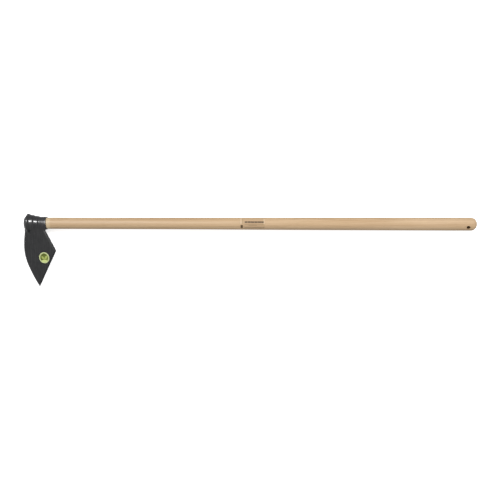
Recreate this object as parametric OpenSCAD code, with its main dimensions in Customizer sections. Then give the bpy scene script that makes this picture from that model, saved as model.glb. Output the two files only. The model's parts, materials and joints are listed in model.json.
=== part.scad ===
// Pointed field hoe: a forged steel head with a side-set leaf blade, wedged on a round ash handle.
// The tool lies on its back on a table: +X runs along the handle to the grip, +Z is up,
// the blade points to -Y, and the origin is under the middle of the tool, on the table.

/* [Overall] */
// Length from the far face of the eye to the end of the grip
tool_len = 1200; // [1000:50:1500]

/* [Handle] */
// Handle diameter where it enters the eye
handle_d_eye = 30; // [28:0.2:30.6]
// Handle diameter at the grip end
handle_d_grip = 34.2; // [33:0.2:37]
// Length of the rounded grip end
dome_len = 15; // [8:0.5:18]
// How far the driven end of the handle stops short of the far face of the eye
end_recess = 1; // [0.5:0.5:2]
// Chamfer round the driven end of the handle
end_chamfer = 0.8; // [0.4:0.2:1.2]

/* [Hang hole] */
// Diameter of the hole for a hook or cord
hang_hole_d = 9; // [6:0.5:10]
// Distance from the hole to the grip end
hang_hole_from_end = 26.2; // [20:0.2:30]
// Turn of the hole about the handle, from straight up towards the blade
hang_hole_turn = 35; // [0:1:45]

/* [Eye] */
// Length of the eye along the handle
eye_len = 58; // [54:1:62]
// Outer diameter of the bead round the far end
eye_d_bead = 50.4; // [48:0.4:54]
// Outer diameter of the eye just behind the bead
eye_d_far = 44.6; // [43:0.2:46]
// Outer diameter of the collar at the mouth
eye_d_mouth = 34; // [33.6:0.2:36]
// Height of the forged step halfway along the eye
eye_step_h = 1.2; // [0:0.1:1.6]
// Growth of the tapered bore, from its mouth diameter to its far end
bore_flare = 1.8; // [1:0.2:2]

/* [Blade] */
// Blade thickness
blade_t = 4; // [3:0.5:5]
// Thickness left at the ground edges
edge_t = 1.2; // [0.8:0.2:2]
// Width of the ground bevel on the upper face
bevel_w = 4; // [3:0.5:5]
// Reach of the point beyond the handle axis, along the blade
tip_reach = 169; // [150:0.2:180]
// Sideways turn of the blade, which lifts the shoulder on the grip side
blade_cant = 15; // [10:1:18]
// Bow of the edge between the root and the shoulder
shoulder_bow = 0.4; // [0:0.2:3]

/* [Labels] */
// Diameter of the round sticker on the blade
sticker_d = 30; // [25:1:36]
// Thickness of the round sticker
sticker_t = 0.3; // [0.2:0.1:0.5]
// Length of the film label on the handle
label_len = 66; // [60:2:90]
// Thickness of the film label
label_t = 0.2; // [0.2:0.1:0.4]
// How far round the handle the film label reaches
label_wrap = 110; // [90:10:130]

/* [Wedges] */
// Depth of the wooden wedge in the end of the handle
wood_wedge_depth = 38; // [30:1:45]
// Thickness of the wooden wedge at the end of the handle
wood_wedge_t = 5; // [4:0.5:6]
// Depth of the steel wedge
steel_wedge_depth = 24; // [18:1:28]
// Thickness of the steel wedge at the end of the handle
steel_wedge_t = 3.5; // [3:0.5:4]
// Width of the steel wedge across the handle
steel_wedge_w = 18; // [14:1:22]

/* [Hidden] */

$fn = 96;
slack = 1; // overshoot of a cutting solid

// How finely the curved profiles and edges are divided
dome_steps = 16;
taper_steps = 20;
eye_stride = 2;
belly_steps = 24;
shoulder_steps = 4;

// Handle axis: x = 0 at the far face of the eye, x = tool_len at the grip end
dome_x = tool_len - dome_len;
hang_x = tool_len - hang_hole_from_end;
label_x = 569; // start of the film label, near the middle of the handle
label_turn = 5; // middle of the film label, turned away from the blade
wedge_toe_t = 0.8; // thickness of both wedges at their thin end

function mix(a, b, s) = a + (b - a) * s;
// 0 before low, 1 after high, and a smooth rise between them
function rise(low, high, x) = (1 - cos(180 * min(max((x - low) / (high - low), 0), 1))) / 2;

// Radius of the handle, slim at the head and fuller at the grip, and of the bore that it fills
function handle_r(x) = mix(handle_d_eye, handle_d_grip, rise(eye_len, dome_x, x)) / 2;
function bore_r(x) = handle_d_eye / 2 + bore_flare / 2 * (eye_len - x) / eye_len;

// Outer radius of the eye: a rim that swells into a bead, a taper with one forged step, and a collar
rim_wall = 1.3;
bead_rise = [0.5, 8.5];
bead_fall = [9.5, 16];
taper_slope = 0.12;
step_x = [22.5, 27.5];
collar_x = [36, 39];
lip_round = 1.5;
function eye_rim(x) = mix(bore_r(0) + rim_wall, eye_d_bead / 2, rise(bead_rise[0], bead_rise[1], x));
function eye_cone(x) = eye_d_far / 2 - taper_slope * max(x - bead_fall[1], 0);
function eye_taper(x) = eye_cone(x) - eye_step_h * rise(step_x[0], step_x[1], x);
function eye_body(x) = mix(eye_taper(x), eye_d_mouth / 2, rise(collar_x[0], collar_x[1], x));
function eye_bead(x) = (eye_d_bead - eye_d_far) / 2 * (1 - rise(bead_fall[0], bead_fall[1], x));
function eye_r(x) = x < bead_fall[0] ? eye_rim(x) : eye_body(x) + eye_bead(x);

// The bead and the end of the grip carry the tool on the table
head_low = eye_d_bead / 2;
grip_low = handle_d_grip / 2;
bead_x = bead_fall[0];
lie = atan((head_low - grip_low) / (dome_x - bead_x));
lift = head_low * cos(lie) + bead_x * sin(lie);

// Blade outline, in the plane of the upper face of the blade, from the top of the mouth of the eye
root_top = -2;
root_left = [-64.1, -15.3];
root_corner = [-59, root_top];
root_right = [-4.3, -15.6];
root_mouth = [-4.3, root_top];
belly = [[-79, -66], [-80, -97]];
tip = [-36, -tip_reach];
shoulder = [22.2, -71];
shoulder_mid = (root_right + shoulder) / 2 + [2 * shoulder_bow, 0];

function cubic(p, q, r, s, t) =
    pow(1 - t, 3) * p + 3 * t * pow(1 - t, 2) * q + 3 * t * t * (1 - t) * r + pow(t, 3) * s;
function quadratic(p, q, r, t) = pow(1 - t, 2) * p + 2 * t * (1 - t) * q + t * t * r;

belly_edge = [for (i = [0:belly_steps]) cubic(root_left, belly[0], belly[1], tip, i / belly_steps)];
upper_edge = [for (i = [0:shoulder_steps]) quadratic(shoulder, shoulder_mid, root_right, i / shoulder_steps)];
blade_outline = concat([root_corner], belly_edge, upper_edge, [root_mouth]);

// Where the blade leaves the eye, at the top of its mouth
seat_y = -4;
seat_z = 17.8;
blade_seat = [eye_len, seat_y, seat_z];

// The droop brings the underside of the point down to the table
table_at_tip = (eye_len / 2 * sin(lie) - lift) / cos(lie);
tip_drop = (blade_seat[2] + tip[0] * sin(blade_cant) - table_at_tip) / cos(blade_cant);
tip_arm = sqrt(tip_reach * tip_reach + blade_t * blade_t);
blade_droop = asin(tip_drop / tip_arm) - atan(blade_t / tip_reach);

sticker_at = [-12.9, -89.1];

// Everything is drawn along the handle axis and then laid on the table.
// A point of the blade's outline, at a depth below its upper face, as it lies in plan
function blade_rise(p, depth) = p[1] * sin(blade_droop) - depth * cos(blade_droop);
function blade_x(p, depth) = blade_seat[0] + p[0] * cos(blade_cant) - blade_rise(p, depth) * sin(blade_cant);
function blade_y(p, depth) = blade_seat[1] + p[1] * cos(blade_droop) + depth * sin(blade_droop);
function blade_z(p, depth) = blade_seat[2] + p[0] * sin(blade_cant) + blade_rise(p, depth) * cos(blade_cant);
function plan_x(x, z) = x * cos(lie) + z * sin(lie);

// The middle of the tool in plan: the blade's belly and point, the grip end and the bead bound it
edge_depth = blade_t - edge_t;
far_left = min([for (p = belly_edge) plan_x(blade_x(p, edge_depth), blade_z(p, edge_depth))]);
far_right = plan_x(tool_len, 0);
point_y = blade_y(tip, edge_depth);
middle = [(far_left + far_right) / 2, (point_y + eye_d_bead / 2) / 2];

module on_table() {
    translate([-middle[0], -middle[1], lift])
        rotate([0, lie, 0])
            children();
}

module on_blade() {
    translate(blade_seat)
        rotate([blade_droop, -blade_cant, 0])
            children();
}

// Revolves a profile of [radius, x] points about the handle axis
module along_handle() {
    rotate([0, 90, 0])
        rotate_extrude()
            children();
}

module eye_outside() {
    lip_x = eye_len - lip_round;
    swell = [for (x = [0:eye_stride:lip_x]) [eye_r(x), x]];
    lip = [[eye_r(lip_x), lip_x], [eye_r(eye_len) - lip_round, eye_len]];
    along_handle()
        polygon(concat([[0, 0]], swell, lip, [[0, eye_len]]));
}

module bore() {
    along_handle()
        polygon([
            [0, -slack],
            [bore_r(-slack), -slack],
            [bore_r(eye_len + slack), eye_len + slack],
            [0, eye_len + slack]
        ]);
}

// The blade is full width at the back and ground back to a narrower upper face
module blade() {
    on_blade()
        hull() {
            translate([0, 0, -blade_t])
                linear_extrude(edge_t)
                    polygon(blade_outline);
            translate([0, 0, -edge_t])
                linear_extrude(edge_t)
                    offset(delta = -bevel_w)
                        polygon(blade_outline);
        }
}

module hoe_head() {
    color("#34353a")
        on_table()
            difference() {
                union() {
                    eye_outside();
                    blade();
                }
                bore();
            }
}

// The driven end of the handle fills the bore of the eye
module handle_outside() {
    tenon_x = end_recess;
    end_r = bore_r(tenon_x + end_chamfer);
    dome = [
        for (i = [1:dome_steps - 1])
            let (turn = 90 * i / dome_steps)
                [handle_d_grip / 2 * cos(turn), dome_x + dome_len * sin(turn)]
    ];
    taper = [
        for (i = [0:taper_steps])
            let (x = mix(eye_len, dome_x, i / taper_steps))
                [handle_r(x), x]
    ];
    along_handle()
        polygon(concat(
            [[0, tenon_x], [end_r - end_chamfer, tenon_x], [end_r, tenon_x + end_chamfer]],
            taper,
            dome,
            [[0, tool_len]]
        ));
}

// A wedge along the handle axis: thick at the driven end, thin at its toe, broad across
module wedge_blank(depth, thick, broad) {
    translate([end_recess, 0, -broad / 2])
        linear_extrude(broad)
            polygon([
                [0, -thick / 2],
                [depth, -wedge_toe_t / 2],
                [depth, wedge_toe_t / 2],
                [0, thick / 2]
            ]);
}

module steel_wedge_blank() {
    rotate([90, 0, 0])
        wedge_blank(steel_wedge_depth, steel_wedge_t, steel_wedge_w);
}

module wooden_wedge_blank() {
    wedge_blank(wood_wedge_depth, wood_wedge_t, handle_d_grip + slack);
}

module handle() {
    color("#dcbc94")
        on_table()
            difference() {
                handle_outside();
                translate([hang_x, 0, 0])
                    rotate([hang_hole_turn, 0, 0])
                        cylinder(d = hang_hole_d, h = handle_d_grip + 2 * slack, center = true);
                wooden_wedge_blank();
                steel_wedge_blank();
            }
}

module wooden_wedge() {
    color("#b98a5c")
        on_table()
            difference() {
                intersection() {
                    wooden_wedge_blank();
                    handle_outside();
                }
                steel_wedge_blank();
            }
}

module steel_wedge() {
    color("#7f8286")
        on_table()
            steel_wedge_blank();
}

module blade_sticker() {
    color("#a9bd4a")
        on_table()
            on_blade()
                translate(sticker_at)
                    cylinder(d = sticker_d, h = sticker_t);
}

// A thin film that lies on the handle all over
module handle_label() {
    x_end = label_x + label_len;
    color("#cfae84")
        on_table()
            rotate([-label_turn, 0, 0])
                rotate([0, 90, 0])
                    rotate([0, 0, 180 - label_wrap / 2])
                        rotate_extrude(angle = label_wrap)
                            polygon([
                                [handle_r(label_x), label_x],
                                [handle_r(label_x) + label_t, label_x],
                                [handle_r(x_end) + label_t, x_end],
                                [handle_r(x_end), x_end]
                            ]);
}

hoe_head();
handle();
wooden_wedge();
steel_wedge();
blade_sticker();
handle_label();
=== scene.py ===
import json
import math

import bmesh
import bpy
import numpy as np
from mathutils import Matrix, Vector

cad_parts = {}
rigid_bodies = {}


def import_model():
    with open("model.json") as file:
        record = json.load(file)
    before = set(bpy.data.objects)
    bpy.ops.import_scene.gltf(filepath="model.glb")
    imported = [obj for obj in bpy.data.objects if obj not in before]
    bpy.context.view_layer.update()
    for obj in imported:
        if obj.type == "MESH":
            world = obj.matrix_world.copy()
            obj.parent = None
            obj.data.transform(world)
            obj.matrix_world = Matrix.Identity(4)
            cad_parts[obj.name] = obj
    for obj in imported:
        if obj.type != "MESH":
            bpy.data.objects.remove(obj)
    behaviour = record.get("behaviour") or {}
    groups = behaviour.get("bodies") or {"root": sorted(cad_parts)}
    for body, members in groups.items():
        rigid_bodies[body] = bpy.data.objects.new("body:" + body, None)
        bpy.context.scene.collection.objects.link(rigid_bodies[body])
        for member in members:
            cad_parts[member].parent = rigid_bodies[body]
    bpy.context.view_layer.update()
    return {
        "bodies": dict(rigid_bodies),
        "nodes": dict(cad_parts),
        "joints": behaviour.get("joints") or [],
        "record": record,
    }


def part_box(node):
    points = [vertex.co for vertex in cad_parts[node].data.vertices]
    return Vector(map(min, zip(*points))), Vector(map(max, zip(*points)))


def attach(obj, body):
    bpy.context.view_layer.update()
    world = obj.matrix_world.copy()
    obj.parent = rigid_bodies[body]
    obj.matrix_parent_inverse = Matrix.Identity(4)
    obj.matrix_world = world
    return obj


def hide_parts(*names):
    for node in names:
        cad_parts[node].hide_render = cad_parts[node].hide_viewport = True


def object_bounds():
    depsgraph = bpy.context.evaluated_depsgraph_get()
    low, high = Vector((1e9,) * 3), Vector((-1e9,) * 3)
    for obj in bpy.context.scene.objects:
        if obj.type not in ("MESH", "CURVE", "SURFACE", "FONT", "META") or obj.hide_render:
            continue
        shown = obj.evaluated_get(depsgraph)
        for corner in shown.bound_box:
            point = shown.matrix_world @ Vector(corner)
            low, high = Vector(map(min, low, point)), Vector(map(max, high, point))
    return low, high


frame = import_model()

# A pointed field hoe that lies on a pale table. Shapes are worked out in millimetres in the tool frame:
# x runs along the handle from the far face of the eye, z points up from the table, y away from the blade.
MM = 0.001
rng = np.random.default_rng(7)


def mix(a, b, s):
    return a + (b - a) * s


def rise(low, high, x):
    """0 before low, 1 after high, and a smooth rise between them."""
    return (1 - np.cos(np.pi * np.clip((x - low) / (high - low), 0, 1))) / 2


# ---- Places, from the frame ----

hang = next(m for m in frame["record"]["mounts"] if m["name"] == "hang_hole")
hang_at, hang_axis = Vector(hang["pos_m"]), Vector(hang["axis"])
hang_r = hang["dims"]["r_mm"]
lie = math.atan2(hang_axis.x, hang_axis.z)  # how far the handle slopes down to the grip
hang_turn = math.asin(-hang_axis.y)  # how far the hole is turned about the handle

TOOL_LEN = 1200.0  # in millimetres, from the far face of the eye to the end of the grip
hang_x = TOOL_LEN - (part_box("handle")[1].x - hang_at.x) / math.cos(lie) / MM
slope = Matrix.Rotation(lie, 4, "Y")
# The place of the tool frame in the scene
LAY = Matrix.Translation(hang_at - slope @ Vector((hang_x * MM, 0, 0))) @ slope

# ---- Sizes, in millimetres and degrees. Those that the CAD has too are the same there. ----

HANDLE_R_EYE, HANDLE_R_GRIP, DOME_LEN, END_CHAMFER = 15.0, 17.1, 15.0, 0.8
EYE_LEN, EYE_R_BEAD, EYE_R_FAR, EYE_R_MOUTH, EYE_STEP_H = 58.0, 25.2, 22.3, 17.0, 1.2
END_RECESS = 1.0  # the driven end stops this far inside the far face of the eye
RIM_WALL, BEAD_RISE, BEAD_FALL, TAPER_SLOPE = 1.3, (0.5, 8.5), (9.5, 16.0), 0.12
STEP_X, COLLAR_X = (22.5, 27.5), (36.0, 39.0)
BORE_FLARE = 0.9
EYE_END_ROUND, BORE_ROUND, ROOT_FILLET = 2.0, 1.2, 8.0
BLADE_T, EDGE_T, BEVEL_W = 4.0, 1.2, 4.0
RIDGE_ROUND, EDGE_ROUND = 0.8, 0.6
CROWN_FALL, CROWN_MIDDLE = 0.0006, -25.0  # how fast the upper face falls away, and from where
CROWN_TIP, CROWN_ROOT = (-172.0, -120.0), (-15.0, -45.0)  # where it flattens out at the point and the root
BLADE_SEAT, BLADE_CANT = (58.0, -4.0, 17.8), math.radians(15)
ROOT_LEFT, ROOT_CORNER = (-64.1, -15.3), (-59.0, -2.0)
ROOT_RIGHT, ROOT_MOUTH = (-4.3, -15.6), (-4.3, -2.0)
BELLY = ((-79.0, -66.0), (-80.0, -97.0))
TIP, SHOULDER, SHOULDER_BOW = (-36.0, -169.0), (22.2, -71.0), 0.4
STICKER_AT, STICKER_R, STICKER_T = (-12.9, -89.1), 15.0, 0.3
LABEL_X, LABEL_LEN, LABEL_T, LABEL_WRAP, LABEL_TURN = 569.0, 66.0, 0.2, 110.0, 5.0
LABEL_CORNER = 2.5
STICKER_SPARE, LABEL_SPARE = 0.05, 0.04  # how much thinner than the CAD solids they are drawn
WOOD_WEDGE = (38.0, 5.0)  # depth, thickness at the driven end
STEEL_WEDGE = (24.0, 3.5)
STEEL_WEDGE_W, WEDGE_TOE_T = 18.0, 0.8
CUT_OVER = 1.0  # how far a cutter runs on past the driven end
TENON_SPARE = 0.05  # how far the wooden wedge stays inside the bore
HOLE_LIP = 1.1
HOLE_SHADE_REACH = (1.3, 0.3)  # how far past the bore the painted shade inside the hang hole ends and is full
HOLE_SHADE_DEPTH = (-0.1, 0.9)  # how deep in the wood the painted shade inside the hang hole begins and is full
GRIP_FLAT = 0.3  # radius of the small flat on the very end of the grip

dome_x = TOOL_LEN - DOME_LEN

# The droop that brings the underside of the blade's point down to the table
table_at_tip = (EYE_LEN / 2 * math.sin(lie) - LAY.translation.z / MM) / math.cos(lie)
tip_drop = (BLADE_SEAT[2] + TIP[0] * math.sin(BLADE_CANT) - table_at_tip) / math.cos(BLADE_CANT)
blade_droop = math.asin(tip_drop / math.hypot(TIP[1], BLADE_T)) - math.atan(BLADE_T / -TIP[1])


def handle_r(x):
    return mix(HANDLE_R_EYE, HANDLE_R_GRIP, rise(EYE_LEN, dome_x, x))


def bore_r(x):
    return HANDLE_R_EYE + BORE_FLARE * (EYE_LEN - x) / EYE_LEN


# ---- The head as a distance field, so that the eye and the blade flow into each other ----

# Turns the blade's own frame into the tool frame: a and b lie along its upper face, c stands up from it
BLADE_TURN = np.array(Matrix.Rotation(-BLADE_CANT, 3, "Y") @ Matrix.Rotation(blade_droop, 3, "X"))


def cubic(p, q, r, s, t):
    p, q, r, s = (np.array(c)[None] for c in (p, q, r, s))
    t = t[:, None]
    return (1 - t) ** 3 * p + 3 * t * (1 - t) ** 2 * q + 3 * t * t * (1 - t) * r + t**3 * s


def blade_outline():
    belly = cubic(ROOT_LEFT, *BELLY, TIP, np.linspace(0, 1, 25))
    bow = np.add(ROOT_RIGHT, SHOULDER) / 2 + (2 * SHOULDER_BOW, 0)
    t = np.linspace(0, 1, 7)[:, None]
    upper = (1 - t) ** 2 * SHOULDER + 2 * t * (1 - t) * bow + t * t * np.array(ROOT_RIGHT)
    return np.vstack([[ROOT_CORNER], belly, upper, [ROOT_MOUTH]])


OUTLINE = blade_outline()


def outline_depth(a, b):
    """How far each point lies inside the blade's outline, negative outside."""
    near = np.full(a.shape, 1e9)
    inside = np.zeros(a.shape, bool)
    for (ax, ay), (bx, by) in zip(OUTLINE, np.roll(OUTLINE, -1, 0)):
        ex, ey = bx - ax, by - ay
        px, py = a - ax, b - ay
        s = np.clip((px * ex + py * ey) / (ex * ex + ey * ey), 0, 1)
        near = np.minimum(near, (px - s * ex) ** 2 + (py - s * ey) ** 2)
        crosses = (ay > b) != (by > b)
        inside ^= crosses & (px < ex * py / (ey if ey else 1e-9))
    return np.where(inside, 1, -1) * np.sqrt(near)


def crown(a, b):
    """The upper face of the blade falls away slightly to both sides, less so at the point."""
    return -CROWN_FALL * (a - CROWN_MIDDLE) ** 2 * rise(*CROWN_TIP, b) * rise(*CROWN_ROOT, b)


def smooth_min(a, b, reach):
    h = np.maximum(reach - np.abs(a - b), 0) / reach
    return np.minimum(a, b) - h * h * reach / 4


def smooth_max(a, b, reach):
    return -smooth_min(-a, -b, reach)


def eye_radius(x):
    rim = mix(bore_r(0) + RIM_WALL, EYE_R_BEAD, rise(*BEAD_RISE, x))
    taper = EYE_R_FAR - TAPER_SLOPE * np.maximum(x - BEAD_FALL[1], 0) - EYE_STEP_H * rise(*STEP_X, x)
    body = mix(taper, EYE_R_MOUTH, rise(*COLLAR_X, x))
    bead = (EYE_R_BEAD - EYE_R_FAR) * (1 - rise(*BEAD_FALL, x))
    return np.where(x < BEAD_FALL[0], rim, body + bead)


def on_blade(p):
    """Points of the tool frame in the blade's own frame."""
    return (p - BLADE_SEAT) @ BLADE_TURN


def eye_field(p):
    side = np.hypot(p[:, 1], p[:, 2]) - eye_radius(p[:, 0])
    ends = np.maximum(-p[:, 0], p[:, 0] - EYE_LEN)
    return smooth_max(side, ends, EYE_END_ROUND)


def blade_field(p):
    a, b, c = on_blade(p).T
    depth = outline_depth(a, b)
    c = c - crown(a, b)
    lean = (BLADE_T - EDGE_T) / BEVEL_W
    bevel = (c + BLADE_T - EDGE_T - lean * depth) / math.hypot(1, lean)
    faces = smooth_max(c, bevel, RIDGE_ROUND)
    return smooth_max(smooth_max(faces, -BLADE_T - c, EDGE_ROUND), -depth, EDGE_ROUND)


def head_field(p):
    r = np.hypot(p[:, 1], p[:, 2])
    body = smooth_min(eye_field(p), blade_field(p), ROOT_FILLET)
    return smooth_max(body, bore_r(p[:, 0]) - r, BORE_ROUND)


CORNERS = np.array([(i, j, k) for i in (0, 1) for j in (0, 1) for k in (0, 1)])
CELL_EDGES = [(m, n) for m in range(8) for n in range(m + 1, 8) if abs(CORNERS[m] - CORNERS[n]).sum() == 1]


def field_mesh(field, low, high, step):
    """Vertices and quads of the surface where the field is zero, one vertex to each crossed cell."""
    axes = [np.arange(lo, hi + step, step) for lo, hi in zip(low, high)]
    shape = tuple(len(axis) for axis in axes)
    value = np.empty(shape)
    yz = np.stack(np.meshgrid(axes[1], axes[2], indexing="ij"), -1).reshape(-1, 2)
    for i, x in enumerate(axes[0]):
        value[i] = field(np.column_stack([np.full(len(yz), x), yz])).reshape(shape[1:])
    inside = value < 0
    count = sum(inside[i : shape[0] - 1 + i, j : shape[1] - 1 + j, k : shape[2] - 1 + k].astype(np.int8)
                for i, j, k in CORNERS)
    cells = np.argwhere((count > 0) & (count < 8))
    index = np.full(tuple(n - 1 for n in shape), -1)
    index[tuple(cells.T)] = np.arange(len(cells))
    corner = np.stack([value[tuple((cells + c).T)] for c in CORNERS], 1)
    total, hits = np.zeros((len(cells), 3)), np.zeros(len(cells))
    for m, n in CELL_EDGES:
        u, v = corner[:, m], corner[:, n]
        crossed = (u < 0) != (v < 0)
        s = np.where(crossed, u / np.where(crossed, u - v, 1), 0)[:, None]
        total += np.where(crossed[:, None], CORNERS[m] * (1 - s) + CORNERS[n] * s, 0)
        hits += crossed
    verts = np.array(low) + (cells + total / hits[:, None]) * step
    quads = []
    for axis in range(3):
        j, k = (axis + 1) % 3, (axis + 2) % 3
        ahead = np.roll(inside, -1, axis)
        found = np.argwhere(inside != ahead)
        found = found[(found[:, axis] < shape[axis] - 1) & (found[:, j] > 0) & (found[:, k] > 0)]
        ej, ek = np.eye(3, dtype=int)[j], np.eye(3, dtype=int)[k]
        ring = np.stack([index[tuple((found - d).T)] for d in (ej + ek, ek, 0 * ej, ej)], 1)
        leaves = inside[tuple(found.T)]
        quads.append(np.where(leaves[:, None], ring, ring[:, ::-1]))
    return verts, np.vstack(quads)


def pull_onto(field, verts, step, rounds=3):
    """Moves the vertices onto the field's surface."""
    for _ in range(rounds):
        here = field(verts)
        grad = gradient(field, verts, step / 4)
        move = here / np.maximum((grad**2).sum(1), 0.25)
        verts = verts - grad * np.clip(move, -step / 2, step / 2)[:, None]
    return verts


def gradient(field, verts, reach):
    steps = reach * np.eye(3)
    return np.stack([(field(verts + step) - field(verts - step)) / (2 * reach) for step in steps], 1)


# The sticker's own frame, with its middle on the upper face of the blade
sticker_frame = (
    LAY
    @ Matrix.Translation(Vector(BLADE_SEAT) * MM)
    @ Matrix(BLADE_TURN.tolist()).to_4x4()
    @ Matrix.Translation(Vector((*STICKER_AT, 0)) * MM)
)


# ---- Blender helpers ----


def solid(name, verts, faces, place=LAY):
    """A smooth mesh object from vertices in millimetres, laid on the table with the tool."""
    mesh = bpy.data.meshes.new(name)
    mesh.from_pydata((np.asarray(verts, float) * MM).tolist(), [], [list(map(int, f)) for f in faces])
    mesh.transform(place)
    mesh.update()
    mesh.shade_smooth()
    obj = bpy.data.objects.new(name, mesh)
    bpy.context.collection.objects.link(obj)
    return obj


def in_tool_frame(obj):
    """The vertices of obj in millimetres, in the tool frame."""
    back = LAY.inverted()
    return np.array([back @ v.co for v in obj.data.vertices]) / MM


def stands_for(obj, node, material):
    """obj takes the place of a CAD node, moves with the tool and wears a material."""
    obj.data.materials.clear()
    obj.data.materials.append(material)
    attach(obj, "root")
    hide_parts(node)
    return obj


def carve(obj, tool, operation="DIFFERENCE"):
    """Cuts obj with tool, which is used up."""
    mod = obj.modifiers.new("carve", "BOOLEAN")
    mod.operation, mod.object, mod.solver = operation, tool, "EXACT"
    shape = bpy.data.meshes.new_from_object(obj.evaluated_get(bpy.context.evaluated_depsgraph_get()))
    obj.modifiers.clear()
    obj.data = shape
    bpy.data.objects.remove(tool)


def soften(obj, angle, width=0.0):
    """Rounds the edges sharper than the angle, where there is a width, and shades the rest smooth."""
    if width:
        mod = obj.modifiers.new("round", "BEVEL")
        mod.width, mod.segments = width * MM, 2
        mod.limit_method, mod.angle_limit = "ANGLE", math.radians(angle)
    obj.data.shade_smooth()
    obj.data.set_sharp_from_angle(angle=math.radians(angle))


def lathe(profile, turns=96):
    """Vertices and faces of a closed solid turned about the x axis, from (x, radius) pairs."""
    angles = np.linspace(0, 2 * math.pi, turns, endpoint=False)
    verts, faces = [], []
    for x, r in profile:
        verts += [(x, r * math.sin(t), r * math.cos(t)) for t in angles]
    for ring in range(len(profile) - 1):
        for k in range(turns):
            a, b = ring * turns + k, ring * turns + (k + 1) % turns
            faces.append((a, a + turns, b + turns, b))
    faces.append(tuple(range(turns)))
    faces.append(tuple(reversed(range((len(profile) - 1) * turns, len(profile) * turns))))
    return verts, faces


def patch(rim, rings, surface, thick):
    """A thin film: a rim of (u, v) points filled towards its middle, on a surface, with a sloped edge."""
    n = len(rim)
    rim = np.asarray(rim, float)
    edge = 1.0 - 0.3 * thick / abs(rim).max()
    levels = [(1.0, 0.0), (edge, thick)] + [(s, thick) for s in rings]
    verts = [surface(u * s, v * s, h) for s, h in levels for u, v in rim]
    faces = [
        (r * n + k, r * n + (k + 1) % n, (r + 1) * n + (k + 1) % n, (r + 1) * n + k)
        for r in range(len(levels) - 1)
        for k in range(n)
    ]
    middle = len(verts)
    verts.append(surface(0.0, 0.0, thick))
    faces += [((len(levels) - 1) * n + k, (len(levels) - 1) * n + (k + 1) % n, middle) for k in range(n)]
    under = len(verts)
    verts.append(surface(0.0, 0.0, 0.0))
    inner = len(verts)
    verts += [surface(u * s, v * s, 0.0) for s in rings for u, v in rim]
    rows = [0] + [inner + r * n for r in range(len(rings))]
    for low, high in zip(rows, rows[1:]):
        faces += [(low + (k + 1) % n, low + k, high + k, high + (k + 1) % n) for k in range(n)]
    faces += [(rows[-1] + (k + 1) % n, rows[-1] + k, under) for k in range(n)]
    return verts, faces


# ---- Materials ----


class Look:
    """A node material: constants sit on the shader, and node() adds a node fed by sockets or values."""

    def __init__(self, name, frame=LAY, **constants):
        self.material = bpy.data.materials.new(name)
        self.material.use_nodes = True
        self.tree = self.material.node_tree
        into = frame.inverted()
        spot = {"Rotation": into.to_euler(), "Location": into.translation}
        spot["Vector"] = self.node("TexCoord").outputs["Object"]
        self.own = self.node("Mapping", spot).outputs[0]
        self.shader = self.tree.nodes["Principled BSDF"]
        for key, value in constants.items():
            self.shader.inputs[key.replace("_", " ")].default_value = value

    def node(self, kind, inputs=(), **settings):
        made = self.tree.nodes.new("ShaderNode" + kind)
        for key, value in settings.items():
            setattr(made, key, value)
        for key, value in dict(inputs).items():
            self.feed(made.inputs[key], value)
        return made

    def feed(self, socket, value):
        if isinstance(value, bpy.types.NodeSocket):
            self.tree.links.new(value, socket)
        else:
            socket.default_value = value

    def math(self, operation, a, b=0.0, c=0.0, clamp=False):
        made = self.node("Math", {0: a, 1: b, 2: c}, operation=operation)
        made.use_clamp = clamp
        return made.outputs[0]

    def place(self, scale=(1, 1, 1), shift=(0, 0, 0)):
        """Places in the material's frame, in metres, stretched."""
        return self.node("Mapping", {"Vector": self.own, "Scale": scale, "Location": shift}).outputs[0]

    def noise(self, vector, scale, detail=3.0, rough=0.5):
        parts = {"Vector": vector, "Scale": scale, "Detail": detail, "Roughness": rough}
        return self.node("TexNoise", parts).outputs["Fac"]

    def ramp(self, value, *stops):
        """Colours or greys at places along a ramp."""
        made = self.node("ValToRGB", {"Fac": value})
        band = made.color_ramp
        while len(band.elements) < len(stops):
            band.elements.new(0.5)
        for element, (at, tone) in zip(band.elements, stops):
            element.position = at
            element.color = (*tone, 1) if isinstance(tone, tuple) else (tone, tone, tone, 1)
        return made.outputs["Color"]

    def blend(self, share, a, b, kind="MIX"):
        made = self.node("Mix", data_type="RGBA", blend_type=kind)
        self.feed(made.inputs[0], share)
        for socket, value in ((made.inputs[6], a), (made.inputs[7], b)):
            self.feed(socket, (*value, 1) if isinstance(value, tuple) else value)
        return made.outputs[2]

    def bump(self, height, depth, strength=1.0, under=None):
        """depth is in metres."""
        parts = {"Height": height, "Distance": depth, "Strength": strength}
        if under is not None:
            parts["Normal"] = under
        return self.node("Bump", parts).outputs["Normal"]

    def finish(self, **links):
        for key, value in links.items():
            self.feed(self.shader.inputs[key.replace("_", " ")], value)
        return self.material


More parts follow.
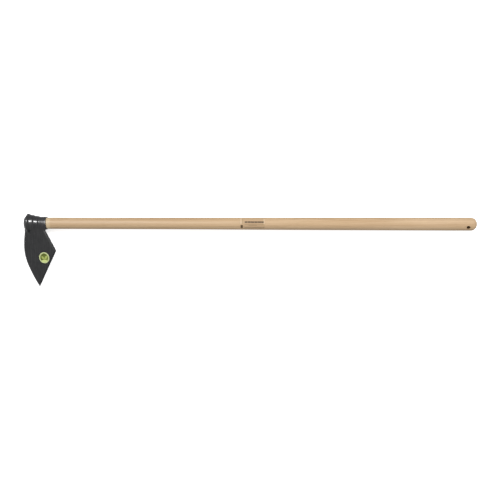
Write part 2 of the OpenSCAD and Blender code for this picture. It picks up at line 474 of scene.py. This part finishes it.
def forged_paint():
    """Black lacquer over forged steel: mottled, faintly streaked along the blade, with painted shade
    darkening the blade's edge.
    """
    look = Look("forged_paint", Specular_IOR_Level=0.30, Coat_Weight=0.80, Coat_Roughness=0.23)
    own = look.place()
    cloud = look.noise(own, 45, 5, 0.6)
    blotch = look.noise(own, 150, 4, 0.6)
    streak = look.noise(look.place((330, 16, 60), (0.3, 0, 0)), 1.0, 4, 0.65)
    grit = look.noise(own, 700, 5, 0.6)
    tone = look.ramp(cloud, (0.32, (0.0060, 0.0062, 0.0076)), (0.70, (0.0190, 0.0190, 0.0200)))
    tone = look.blend(look.ramp(streak, (0.48, 0.0), (0.72, 0.75)), tone, (0.0380, 0.0375, 0.0380))
    tone = look.blend(look.ramp(blotch, (0.52, 0.0), (0.74, 0.55)), tone, (0.0060, 0.0062, 0.0075))
    # Painted shade: the band along the blade's edge, from the edge attribute, is darkened nearly to black.
    edge = look.node("Attribute", attribute_name="edge").outputs["Fac"]
    tone = look.blend(look.math("MULTIPLY", edge, 0.85), tone, (0.0040, 0.0042, 0.0050))
    rough = look.ramp(cloud, (0.30, 0.38), (0.75, 0.52))
    rough = look.math("ADD", rough, look.math("MULTIPLY", grit, 0.08))
    fine = look.bump(grit, 0.00010, 0.55)
    forged = look.bump(look.noise(own, 120, 3, 0.5), 0.00050, 0.22, fine)
    return look.finish(Base_Color=tone, Roughness=rough, Normal=forged)


SHAVED = (EYE_LEN, 66.0, 70.0)  # the handle's shaved end is palest up to the first, and ends at the last
RING_WIDTH = 0.0024  # growth rings of the ash, in metres
PITH = (0.0, 0.046, 0.031)  # how far the heart of the tree lies from the handle axis


def ash_wood(look, tint=1.0):
    """Colour, roughness and bump of pale ash: solid growth rings with open pores in the early wood."""
    sway = look.node("TexNoise", {"Vector": look.place((2.2, 9, 9)), "Scale": 1.0, "Detail": 2.0})
    drift = look.node("VectorMath", {0: sway.outputs["Color"], 1: (0.5, 0.5, 0.5)}, operation="SUBTRACT")
    drift = look.node("VectorMath", {0: drift.outputs[0], 3: 0.016}, operation="SCALE")
    spot = look.node("VectorMath", {0: look.place((0.0, 1, 1), PITH), 1: drift.outputs[0]}, operation="ADD")
    flat = look.node("VectorMath", {0: spot.outputs[0], 1: (0, 1, 1)}, operation="MULTIPLY")
    radius = look.node("VectorMath", {0: flat.outputs[0]}, operation="LENGTH").outputs["Value"]
    ring = look.math("FRACT", look.math("DIVIDE", radius, RING_WIDTH))
    early = look.ramp(ring, (0.0, 1.0), (0.16, 0.75), (0.42, 0.12), (0.93, 0.0), (1.0, 1.0))
    fibre = look.noise(look.place((7, 1500, 1500)), 1.0, 3, 0.6)
    pores = look.ramp(look.noise(look.place((55, 2600, 2600)), 1.0, 2, 0.5), (0.56, 0.0), (0.68, 1.0))
    pores = look.math("MULTIPLY", pores, look.math("ADD", look.math("MULTIPLY", early, 0.85), 0.10))
    broad = look.noise(look.place((1.6, 30, 30)), 1.0, 3, 0.5)
    tone = look.ramp(
        broad, (0.30, (0.590, 0.405, 0.230)), (0.50, (0.645, 0.455, 0.270)), (0.72, (0.685, 0.500, 0.320))
    )
    streak = look.noise(look.place((4, 210, 210), (0.0, 0.3, 0.1)), 1.0, 3, 0.6)
    tone = look.blend(look.ramp(streak, (0.46, 0.0), (0.66, 0.55)), tone, (0.470, 0.300, 0.160))
    tone = look.blend(look.math("MULTIPLY", early, 0.34), tone, (0.490, 0.300, 0.150))
    tone = look.blend(look.ramp(fibre, (0.35, 0.0), (0.75, 0.22)), tone, (0.520, 0.340, 0.185))
    tone = look.blend(look.math("MULTIPLY", pores, 0.50), tone, (0.300, 0.165, 0.075))
    if tint != 1.0:
        tone = look.blend(1.0, tone, (tint, tint * 0.93, tint * 0.84), "MULTIPLY")
    rough = look.math("ADD", look.math("MULTIPLY", fibre, 0.16), 0.40)
    height = look.math("SUBTRACT", look.math("MULTIPLY", fibre, 0.35), pores)
    return tone, rough, look.bump(height, 0.00008, 0.5)


def handle_wood():
    look = Look("handle_wood", Specular_IOR_Level=0.40)
    tone, rough, normal = ash_wood(look)
    along = look.node("SeparateXYZ", {0: look.place()}).outputs[0]
    stops = zip(SHAVED, (0.75, 0.60, 0.0))
    shaved = look.ramp(look.math("DIVIDE", along, 100 * MM), *((x / 100, share) for x, share in stops))
    tone = look.blend(shaved, tone, (0.720, 0.580, 0.370))
    # Painted shade: the wall of the hang hole is darkened nearly to black.
    hole = look.node("Attribute", attribute_name="bored").outputs["Fac"]
    tone = look.blend(look.math("MULTIPLY", hole, 0.90), tone, (0.075, 0.033, 0.010))
    return look.finish(Base_Color=tone, Roughness=rough, Normal=normal)


def wedge_wood():
    look = Look("wedge_wood", Specular_IOR_Level=0.3)
    tone, rough, normal = ash_wood(look, 0.62)
    return look.finish(Base_Color=tone, Roughness=rough, Normal=normal)


def wedge_steel():
    """Sheared steel with hammer marks and a little brown from the forge."""
    look = Look("wedge_steel", Metallic=1.0)
    own = look.place()
    rust = look.noise(own, 260, 4, 0.6)
    tone = look.ramp(rust, (0.42, (0.42, 0.42, 0.43)), (0.72, (0.24, 0.17, 0.12)))
    rough = look.ramp(rust, (0.4, 0.34), (0.7, 0.62))
    drag = look.noise(look.place((300, 300, 2600)), 1.0, 3)
    return look.finish(Base_Color=tone, Roughness=rough, Normal=look.bump(drag, 0.00010, 0.6))


# The sticker's print, in millimetres from its middle
LEAF_FOOT = 5.0  # how far below the middle the seedling starts
LEAVES = (48, 15.5, 7.0), (128, 12.5, 6.5)  # turn in degrees, length and width of each
GROUND_TOP, GROUND_BOW = 5.2, 0.03  # the strip of ground lies this far down, and falls away to the sides
GLOW_TOP, GLOW_TILT, GLOW_FADE = -3.0, -0.45, 7.0  # a lighter stretch above the ground


def sticker_print():
    """A lime sticker: a pale rim round a dark field, with a two-leaved seedling on a strip of ground."""
    look = Look("sticker_print", sticker_frame, Coat_Weight=0.25, Coat_Roughness=0.15)
    own = look.place()
    part = look.node("SeparateXYZ", {0: own})
    x, y = (look.math("DIVIDE", part.outputs[k], MM) for k in (0, 1))
    radius = look.node("VectorMath", {0: own}, operation="LENGTH").outputs["Value"]
    radius = look.math("DIVIDE", radius, STICKER_R * MM)

    def crisp(value, soft=0.6):
        return look.math("DIVIDE", value, soft, clamp=True)

    def leaf(turn, length, width):
        """A pointed leaf that grows from the foot of the stem."""
        c, s = math.cos(turn), math.sin(turn)
        up = look.math("ADD", y, LEAF_FOOT)
        along = look.math("MULTIPLY_ADD", x, c, look.math("MULTIPLY", up, s))
        across = look.math("ABSOLUTE", look.math("MULTIPLY_ADD", x, -s, look.math("MULTIPLY", up, c)))
        room = look.math("MULTIPLY", along, look.math("SUBTRACT", length, along))
        room = look.math("MULTIPLY", room, 2 * width / length**2)
        return crisp(look.math("SUBTRACT", room, across))

    shade = look.noise(own, 260, 2)
    field = look.ramp(shade, (0.35, (0.085, 0.115, 0.006)), (0.65, (0.175, 0.215, 0.025)))
    glow = crisp(look.math("SUBTRACT", GLOW_TOP, look.math("MULTIPLY_ADD", x, GLOW_TILT, y)), GLOW_FADE)
    field = look.blend(look.math("MULTIPLY", glow, 0.6), field, (0.330, 0.400, 0.070))
    plant = look.math("MAXIMUM", *(leaf(math.radians(turn), *size) for turn, *size in LEAVES))
    field = look.blend(look.math("MULTIPLY", plant, 0.9), field, (0.480, 0.560, 0.135))
    above = look.math("ADD", y, GROUND_TOP)
    ground = look.math("MULTIPLY_ADD", look.math("MULTIPLY", x, x), GROUND_BOW, above)
    field = look.blend(crisp(look.math("MULTIPLY", ground, -1)), field, (0.690, 0.780, 0.270))
    rim = look.ramp(radius, (0.770, 0.0), (0.790, 1.0))
    tone = look.blend(rim, field, (0.640, 0.700, 0.345))
    line = look.ramp(radius, (0.950, 0.0), (0.965, 1.0))
    tone = look.blend(look.math("MULTIPLY", line, 0.35), tone, (0.40, 0.47, 0.14))
    paper = look.noise(own, 1400, 3)
    rough = look.math("ADD", look.math("MULTIPLY", paper, 0.10), 0.30)
    return look.finish(Base_Color=tone, Roughness=rough, Normal=look.bump(paper, 0.00003, 0.4))


# The label's print, in millimetres along the handle from the label's start and across it from the handle's
# crest. Each box is given as the middle and half the length, then the middle and half the breadth.
BAR_START, BAR_Y, BAR_HALF = 13.0, 3.4, 2.1
BARS = (3.5, 3.6), (11.8, 3.6), (20.5, 4.4), (29.7, 4.1), (38.9, 4.4), (47.0, 3.2)
BLOCK = (5.0, 2.7, -8.0, 3.7)
LINES = (BAR_START + 25, 25, -2.6, 0.9), (BAR_START + 21, 11, -5.2, 1.0), (BAR_START + 25.5, 26, -11.9, 2.3)
# Painted highlights: the film's two cut ends, lightened where they catch the light
LIT_FILM_ENDS = (3.0, 1.2, 6, 8), (64.0, 1.2, 5, 6)
FAINT_BLOCK = (7.4, 1.6, 5.5, 5.5)
INK_SOFT = 0.25 * MM  # the fade at the edges of the print


def film_print():
    """A clear film on the wood, printed with plain blocks, bars and lines that spell nothing, and with
    painted highlights where its cut ends catch the light.
    """
    look = Look("film_print", Specular_IOR_Level=0.30, Coat_Weight=0.12, Coat_Roughness=0.30)
    tone, rough, normal = ash_wood(look)
    part = look.node("SeparateXYZ", {0: look.place()})
    x, y = part.outputs[0], part.outputs[1]

    def band(value, middle, half):
        off = look.math("ABSOLUTE", look.math("SUBTRACT", value, middle * MM))
        return look.math("DIVIDE", look.math("SUBTRACT", half * MM + INK_SOFT, off), INK_SOFT, clamp=True)

    def box(x_mid, x_half, y_mid, y_half):
        return look.math("MULTIPLY", band(x, LABEL_X + x_mid, x_half), band(y, y_mid, y_half))

    def any_of(boxes):
        first, *others = (box(*sides) for sides in boxes)
        for other in others:
            first = look.math("MAXIMUM", first, other)
        return first

    tone = look.blend(1.0, tone, (0.93, 0.92, 0.92), "MULTIPLY")
    # Painted highlight on the film's cut ends
    tone = look.blend(look.math("MULTIPLY", any_of(LIT_FILM_ENDS), 0.6), tone, (0.820, 0.660, 0.460))
    ink = any_of([BLOCK, *((BAR_START + at, half, BAR_Y, BAR_HALF) for at, half in BARS)])
    thin = look.math("MAXIMUM", any_of(LINES), look.math("MULTIPLY", box(*FAINT_BLOCK), 0.6))
    tone = look.blend(look.math("MULTIPLY", thin, 0.42), tone, (0.230, 0.150, 0.085))
    tone = look.blend(look.math("MULTIPLY", ink, 0.93), tone, (0.075, 0.042, 0.016))
    return look.finish(Base_Color=tone, Roughness=look.math("MULTIPLY", rough, 0.8), Normal=normal)


def table_top():
    """White card, lit a little from below as on a light table."""
    glow = {"Emission_Color": (1, 1, 1, 1), "Emission_Strength": 0.72}
    look = Look("table_top", Roughness=0.9, Specular_IOR_Level=0.05, **glow)
    speck = look.noise(look.place(), 90, 3)
    return look.finish(Base_Color=look.ramp(speck, (0.3, 0.86), (0.7, 0.89)))


# ---- The head ----

HEAD_STEP = 0.75  # of the grid that the head is drawn on, in millimetres
GRID_LOW = (-14.0, TIP[1] - 6, -EYE_R_BEAD - 3)
GRID_HIGH = (90.0, EYE_R_BEAD + 3, EYE_R_BEAD + 3)
EDGE_SHADE_BAND, EDGE_SHADE_FULL = 5.0, 0.8  # how far in the painted shade along the blade's edge begins and is full
EDGE_SHADE_STOPS = (-18, -26)  # along the blade, where it fades out towards the eye
DENTS_BEGIN = (1.0, 2.5)  # how far out from the bore the dents set in
EYE_DENTS, EYE_DENT_DEPTH, EYE_DENT_WIDTH = 80, (0.02, 0.07), (3.2, 5.2)
BLADE_DENTS, BLADE_DENT_DEPTH, BLADE_DENT_WIDTH = 110, (0.03, 0.14), (5, 10)
DENTED_A, DENTED_B = (-78, 22), (-165, -18)  # the stretch of the blade with dents, in the blade's frame


def forge_marks(verts, normals):
    """Shallow hammer dents, closer and smaller on the eye than on the blade, and none in the bore."""
    sink = np.zeros(len(verts))
    outside = rise(*DENTS_BEGIN, np.hypot(verts[:, 1], verts[:, 2]) - bore_r(verts[:, 0]))
    for _ in range(EYE_DENTS):
        x, turn = rng.uniform(3, EYE_LEN - 4), rng.uniform(0, 2 * math.pi)
        r = float(eye_radius(np.array(x)))
        at = np.array([x, r * math.cos(turn), r * math.sin(turn)])
        depth, width = rng.uniform(*EYE_DENT_DEPTH), rng.uniform(*EYE_DENT_WIDTH)
        sink += depth * np.exp(-((verts - at) ** 2).sum(1) / (2 * width**2))
    a, b, _ = on_blade(verts).T
    for _ in range(BLADE_DENTS):
        at_a, at_b = rng.uniform(*DENTED_A), rng.uniform(*DENTED_B)
        depth, width = rng.uniform(*BLADE_DENT_DEPTH), rng.uniform(*BLADE_DENT_WIDTH)
        sink += depth * np.exp(-((a - at_a) ** 2 + (b - at_b) ** 2) / (2 * width**2))
    return verts - normals * (sink * outside)[:, None]


def make_head():
    verts, quads = field_mesh(head_field, GRID_LOW, GRID_HIGH, HEAD_STEP)
    verts = pull_onto(head_field, verts, HEAD_STEP)
    normals = gradient(head_field, verts, 0.4)
    normals /= np.linalg.norm(normals, axis=1)[:, None]
    obj = solid("hoe_head_forged", forge_marks(verts, normals), quads)
    a, b, _ = on_blade(verts).T
    # The share of painted shade along the blade's edge, kept in the edge attribute
    edge = rise(EDGE_SHADE_BAND, EDGE_SHADE_FULL, outline_depth(a, b)) * rise(*EDGE_SHADE_STOPS, b)
    layer = obj.data.attributes.new("edge", "FLOAT", "POINT")
    layer.data.foreach_set("value", edge.astype(np.float32))
    return stands_for(obj, "hoe_head", forged_paint())


# ---- The handle and its wedges ----


def handle_profile():
    end_r = bore_r(END_RECESS + END_CHAMFER)
    stations = [(END_RECESS, end_r - END_CHAMFER), (END_RECESS + END_CHAMFER, end_r)]
    stations += [(EYE_LEN, HANDLE_R_EYE)]
    plain = [(x, handle_r(x)) for x in np.linspace(EYE_LEN, dome_x, 100)[1:]]
    turns = np.radians(np.linspace(0, 90, 19)[1:-1])
    dome = [(dome_x + DOME_LEN * math.sin(t), HANDLE_R_GRIP * math.cos(t)) for t in turns]
    return stations + plain + dome + [(TOOL_LEN, GRIP_FLAT)]


def hole_cutter():
    """The hang hole with its lips eased by sandpaper."""
    reach, lip = handle_r(hang_x), HOLE_LIP
    side = [(reach - 1.2 * lip, hang_r), (reach - 0.5 * lip, hang_r + 0.22 * lip)]
    side += [(reach, hang_r + lip), (reach + 2, hang_r + 3.2 * lip)]
    verts, faces = lathe([(-x, r) for x, r in reversed(side)] + side, 48)
    turn = Matrix.Rotation(hang_turn, 4, "X") @ Matrix.Rotation(-math.pi / 2, 4, "Y")
    return solid("hole_cutter", verts, faces, LAY @ Matrix.Translation((hang_x * MM, 0, 0)) @ turn)


def wedge_form(name, size, broad, turned, over=0.0):
    """A wedge along the handle axis. turned stands it across the other one.

    over runs a cutter on past the driven end, so that no face of it lies in the end's own plane.
    """
    depth, thick = size
    low, high = END_RECESS - over, END_RECESS + depth
    verts = [
        (x, y * t / 2, z * broad / 2)
        for x, t in ((low, thick + (thick - WEDGE_TOE_T) * over / depth), (high, WEDGE_TOE_T))
        for y, z in ((-1, -1), (1, -1), (1, 1), (-1, 1))
    ]
    if turned:
        verts = [(x, -z, y) for x, y, z in verts]
    faces = [(3, 2, 1, 0), (4, 5, 6, 7)] + [(k, (k + 1) % 4, (k + 1) % 4 + 4, k + 4) for k in range(4)]
    return solid(name, verts, faces)


def make_handle():
    obj = solid("handle_turned", *lathe(handle_profile()))
    carve(obj, hole_cutter())
    carve(obj, wedge_form("kerf", WOOD_WEDGE, 2 * HANDLE_R_GRIP, False, CUT_OVER))
    carve(obj, wedge_form("cross_kerf", STEEL_WEDGE, STEEL_WEDGE_W, True, CUT_OVER))
    soften(obj, 32)
    co = in_tool_frame(obj)
    # Where the painted shade inside the hang hole lies: near its wall and below the handle's surface
    axis = np.array([0, -math.sin(hang_turn), math.cos(hang_turn)])
    rel = co - (hang_x, 0, 0)
    off = np.linalg.norm(rel - np.outer(rel @ axis, axis), axis=1)
    depth = handle_r(co[:, 0]) - np.hypot(co[:, 1], co[:, 2])
    bored = rise(hang_r + HOLE_SHADE_REACH[0], hang_r + HOLE_SHADE_REACH[1], off) * rise(*HOLE_SHADE_DEPTH, depth)
    layer = obj.data.attributes.new("bored", "FLOAT", "POINT")
    layer.data.foreach_set("value", bored.astype(np.float32))
    return stands_for(obj, "handle", handle_wood())


def make_wedges():
    wood = wedge_form("wooden_wedge_driven", WOOD_WEDGE, 2 * HANDLE_R_GRIP, False)
    tenon = [(x, bore_r(x) - TENON_SPARE) for x in (END_RECESS - CUT_OVER, EYE_LEN / 2, EYE_LEN)]
    carve(wood, solid("tenon", *lathe(tenon)), "INTERSECT")
    carve(wood, wedge_form("slot", STEEL_WEDGE, STEEL_WEDGE_W, True, CUT_OVER))
    soften(wood, 30, 0.15)
    stands_for(wood, "wooden_wedge", wedge_wood())
    steel = wedge_form("steel_wedge_driven", STEEL_WEDGE, STEEL_WEDGE_W, True)
    soften(steel, 30, 0.25)
    stands_for(steel, "steel_wedge", wedge_steel())


# ---- The labels ----


def make_sticker():
    def surface(u, v, h):
        return (u, v, float(crown(u + STICKER_AT[0], np.array(v + STICKER_AT[1]))) + h)

    turns = np.linspace(0, 2 * math.pi, 96, False)
    rim = [(STICKER_R * math.cos(t), STICKER_R * math.sin(t)) for t in turns]
    rings = [0.97, 0.9, 0.75, 0.6, 0.45, 0.3, 0.15]
    film = patch(rim, rings, surface, STICKER_T - STICKER_SPARE)
    obj = solid("blade_sticker_print", *film, place=sticker_frame)
    return stands_for(obj, "blade_sticker", sticker_print())


def rounded_rim(half_u, half_v, corner, steps=8, spacing=2.0):
    """The (u, v) points of a rectangle with round corners, no further apart than about the spacing."""
    rim = []
    for quarter, (su, sv) in enumerate(((1, 1), (-1, 1), (-1, -1), (1, -1))):
        for t in np.linspace(0, math.pi / 2, steps):
            turn = t + quarter * math.pi / 2
            u = su * (half_u - corner) + corner * math.cos(turn)
            rim.append((u, sv * (half_v - corner) + corner * math.sin(turn)))
    full = []
    for (u0, v0), (u1, v1) in zip(rim, rim[1:] + rim[:1]):
        pieces = max(1, round(math.hypot(u1 - u0, v1 - v0) / spacing))
        full += [(mix(u0, u1, k / pieces), mix(v0, v1, k / pieces)) for k in range(pieces)]
    return full


def make_label():
    middle = LABEL_X + LABEL_LEN / 2
    half_v = math.radians(LABEL_WRAP / 2) * handle_r(middle)

    def surface(u, v, h):
        x = middle + u
        r = handle_r(x) + h
        turn = math.radians(LABEL_TURN) + v / handle_r(middle)
        return (x, r * math.sin(turn), r * math.cos(turn))

    rim = rounded_rim(LABEL_LEN / 2, half_v, LABEL_CORNER)
    rings = [0.985] + [k / 12 for k in range(11, 0, -1)]
    obj = solid("handle_label_film", *patch(rim, rings, surface, LABEL_T - LABEL_SPARE))
    return stands_for(obj, "handle_label", film_print())


make_head()
make_handle()
make_wedges()
make_sticker()
make_label()

# ---- Table, light and camera ----

lo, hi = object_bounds()
middle = (lo + hi) / 2
TABLE_HALF = 20  # in metres, as is all that follows


def make_table():
    mesh = bpy.data.meshes.new("table")
    grid = bmesh.new()
    bmesh.ops.create_grid(grid, x_segments=4, y_segments=4, size=TABLE_HALF)
    grid.to_mesh(mesh)
    grid.free()
    table = bpy.data.objects.new("table", mesh)
    table.data.materials.append(table_top())
    bpy.context.collection.objects.link(table)
    # The card lights nothing and mirrors in nothing, so the tool is lit by the lamp and the sky alone
    table.visible_diffuse = table.visible_glossy = False


def softbox(name, at, aim, size, power, shape="RECTANGLE"):
    data = bpy.data.lights.new(name, "AREA")
    data.shape, data.size, data.size_y, data.energy = shape, *size, power
    lamp = bpy.data.objects.new(name, data)
    bpy.context.collection.objects.link(lamp)
    lamp.location = at
    lamp.rotation_euler = (Vector(aim) - Vector(at)).to_track_quat("-Z", "Y").to_euler()
    return lamp


KEY_AT, KEY_AIM, KEY_SIZE, KEY_WATTS = (0.35, 0.85, 1.95), (0.25, 0.07, 0), (2.4, 0.8), 36
GLINT_AT, GLINT_AIM, GLINT_SIZE, GLINT_WATTS = (-0.76, 0.92, 1.95), (lo.x + 0.03, 0.07, 0.03), 0.36, 42
SKY_COLOUR, SKY_STRENGTH = (0.98, 0.99, 1.0, 1), 0.47


def make_studio():
    """A long soft key that lights, a small disc that only makes the highlights on the eye, and a dim sky."""
    key = softbox("key", KEY_AT, KEY_AIM, KEY_SIZE, KEY_WATTS)
    key.visible_glossy = False
    glint = softbox("glint", GLINT_AT, GLINT_AIM, (GLINT_SIZE, GLINT_SIZE), GLINT_WATTS, "DISK")
    glint.visible_diffuse = False
    world = bpy.data.worlds.new("studio")
    world.use_nodes = True
    sky = world.node_tree.nodes["Background"].inputs
    sky["Color"].default_value, sky["Strength"].default_value = SKY_COLOUR, SKY_STRENGTH
    bpy.context.scene.world = world


CAMERA_AT = (0.0003, 0.0019, 1.8425)  # from the middle of the tool, above the handle axis, in metres
CAMERA_ROLL = math.radians(0.11)


def make_camera():
    data = bpy.data.cameras.new("camera")
    data.lens, data.sensor_width, data.dof.use_dof = 50, 36, False
    camera = bpy.data.objects.new("camera", data)
    bpy.context.collection.objects.link(camera)
    camera.location = (middle.x + CAMERA_AT[0], middle.y + CAMERA_AT[1], LAY.translation.z + CAMERA_AT[2])
    camera.rotation_euler.z = CAMERA_ROLL
    bpy.context.scene.camera = camera
    bpy.context.scene.view_settings.view_transform = "Standard"


make_table()
make_studio()
make_camera()
